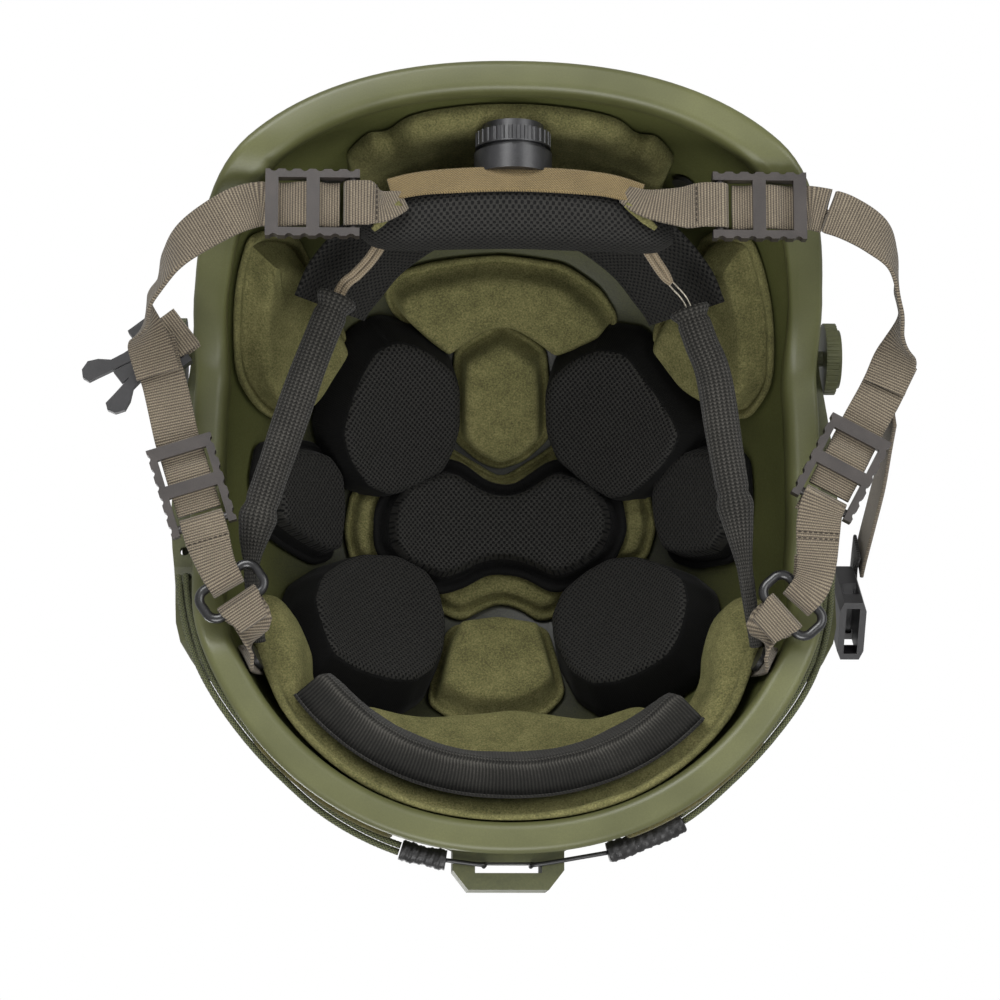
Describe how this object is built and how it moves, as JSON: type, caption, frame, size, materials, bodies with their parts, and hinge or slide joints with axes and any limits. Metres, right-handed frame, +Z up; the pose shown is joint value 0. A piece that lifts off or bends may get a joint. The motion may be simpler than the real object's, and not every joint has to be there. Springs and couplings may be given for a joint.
{
  "type": "combat helmet",
  "caption": "High-cut protective helmet with side rails, padded liner, dial-fitted nape band and chin harness.",
  "frame": {"origin": "middle plane of the head opening, level with the front edge of the shell", "axes": "+Z up as worn, -Y to the front, +X to the wearer's left"},
  "size_m": [0.3014, 0.2894, 0.1713],
  "materials": {
    "shell_paint": "matte, fine grain",
    "edge_rubber": "satin",
    "rail_plastic": "matte",
    "black_steel": "satin",
    "bungee_cord": "braided",
    "shrink_sleeve": "satin, wrinkled",
    "loop_tape": "loop pile",
    "velour": "short pile",
    "pad_mesh": "spacer mesh",
    "knit_fabric": "knit",
    "dial_plastic": "gloss",
    "tan_cloth": "twill",
    "lace_cord": "braided",
    "webbing": "ribbed weave",
    "slide_plastic": "satin",
    "loop_wire": "gloss",
    "buckle_plastic": "satin"
  },
  "bodies": {
    "helmet": {"shell": "shell_paint", "edge_trim": "edge_rubber", "rail_left": "rail_plastic", "rail_right": "rail_plastic", "front_shroud": "rail_plastic", "rail_screws": "black_steel", "shroud_screws": "black_steel", "wire_hooks": "black_steel", "anchor_bolts": "black_steel", "bungee_left": "bungee_cord", "bungee_right": "bungee_cord", "bungee_sleeves": "shrink_sleeve", "loop_patches": "loop_tape", "rear_liner_pad": "velour", "side_liner_left": "velour", "side_liner_right": "velour", "brow_liner": "velour", "crown_liner_rear": "velour", "crown_liner_centre": "velour", "crown_liner_front": "velour", "crown_liner_base": "velour", "comfort_pad_rear_left": "pad_mesh", "comfort_pad_rear_right": "pad_mesh", "comfort_pad_front_left": "pad_mesh", "comfort_pad_front_right": "pad_mesh", "comfort_pad_centre": "pad_mesh", "comfort_pad_side_left": "pad_mesh", "comfort_pad_side_right": "pad_mesh", "brow_pad": "knit_fabric", "lace_sleeve_left": "knit_fabric", "lace_sleeve_right": "knit_fabric", "rear_strap_left": "webbing", "rear_strap_right": "webbing", "front_strap_left": "webbing", "front_strap_right": "webbing", "anchor_strap_left": "webbing", "anchor_strap_right": "webbing"},
    "nape": {"dial_base": "dial_plastic", "nape_pad": "pad_mesh", "nape_cover": "tan_cloth", "occipital_band": "knit_fabric", "lace_cords": "lace_cord"},
    "fit_dial": {"dial": "dial_plastic"},
    "slide_rear_left": {"ladder_lock_rear_left": "slide_plastic"},
    "slide_rear_right": {"ladder_lock_rear_right": "slide_plastic"},
    "slide_front_left": {"ladder_lock_front_left": "slide_plastic"},
    "slide_front_right": {"ladder_lock_front_right": "slide_plastic"},
    "loop_left": {"d_loop_left": "loop_wire"},
    "loop_right": {"d_loop_right": "loop_wire"},
    "prong_half": {"buckle_male": "buckle_plastic"},
    "chin_side": {"chin_strap": "webbing", "strap_end_tab": "buckle_plastic", "buckle_female": "buckle_plastic"},
    "ear_disc_left": {"rail_knob_left": "rail_plastic"},
    "ear_disc_right": {"rail_knob_right": "rail_plastic"}
  },
  "joints": [
    {"name": "nape_slide", "type": "slide", "parent": "helmet", "child": "nape", "axis": [0, -1, 0], "range_m": [0, 0.006], "deforming": ["rear_strap_left", "rear_strap_right"]},
    {"name": "dial_turn", "type": "hinge", "parent": "nape", "child": "fit_dial", "pos_m": [0, 0.115, -0.028], "axis": [0, 1, 0], "range_deg": [0, 360]},
    {"name": "slide_rear_left_tilt", "type": "hinge", "parent": "nape", "child": "slide_rear_left", "pos_m": [0.057, 0.091, -0.046], "axis": [0, 1, 0], "range_deg": [0, 25]},
    {"name": "slide_rear_right_tilt", "type": "hinge", "parent": "nape", "child": "slide_rear_right", "pos_m": [-0.072, 0.0915, -0.046], "axis": [0, -1, 0], "range_deg": [0, 25]},
    {"name": "slide_front_left_tilt", "type": "hinge", "parent": "helmet", "child": "slide_front_left", "pos_m": [0.1098, -0.0163, -0.008], "axis": [-0.9532, 0.3024, 0], "range_deg": [0, 25]},
    {"name": "slide_front_right_tilt", "type": "hinge", "parent": "helmet", "child": "slide_front_right", "pos_m": [-0.1124, -0.0074, -0.008], "axis": [-0.8829, -0.4695, 0], "range_deg": [0, 25]},
    {"name": "loop_left_rock", "type": "hinge", "parent": "helmet", "child": "loop_left", "pos_m": [0.09594, -0.04544, -0.008], "axis": [-0.8211, 0.5707, 0], "range_deg": [-5, 5]},
    {"name": "loop_right_rock", "type": "hinge", "parent": "helmet", "child": "loop_right", "pos_m": [-0.09637, -0.04861, -0.008], "axis": [-0.6613, -0.7501, 0], "range_deg": [-5, 5]},
    {"name": "prong_half_swing", "type": "hinge", "parent": "helmet", "child": "prong_half", "pos_m": [0.124, 0.0505, -0.0035], "axis": [0.6115, 0.7912, 0], "range_deg": [-35, 0]},
    {"name": "chin_swing", "type": "hinge", "parent": "helmet", "child": "chin_side", "pos_m": [-0.1395, 0.028, 0.0001], "axis": [1, 0, 0], "range_deg": [-10, 50]},
    {"name": "ear_disc_left_turn", "type": "hinge", "parent": "helmet", "child": "ear_disc_left", "pos_m": [0.12, 0.055, 0.038], "axis": [1, 0, 0], "range_deg": [0, 90]},
    {"name": "ear_disc_right_turn", "type": "hinge", "parent": "helmet", "child": "ear_disc_right", "pos_m": [-0.12, 0.055, 0.038], "axis": [1, 0, 0], "range_deg": [0, 90]}
  ],
  "couplings": [
    {"joint": "dial_turn", "follows": "nape_slide", "rad_per_m": 1047}
  ]
}
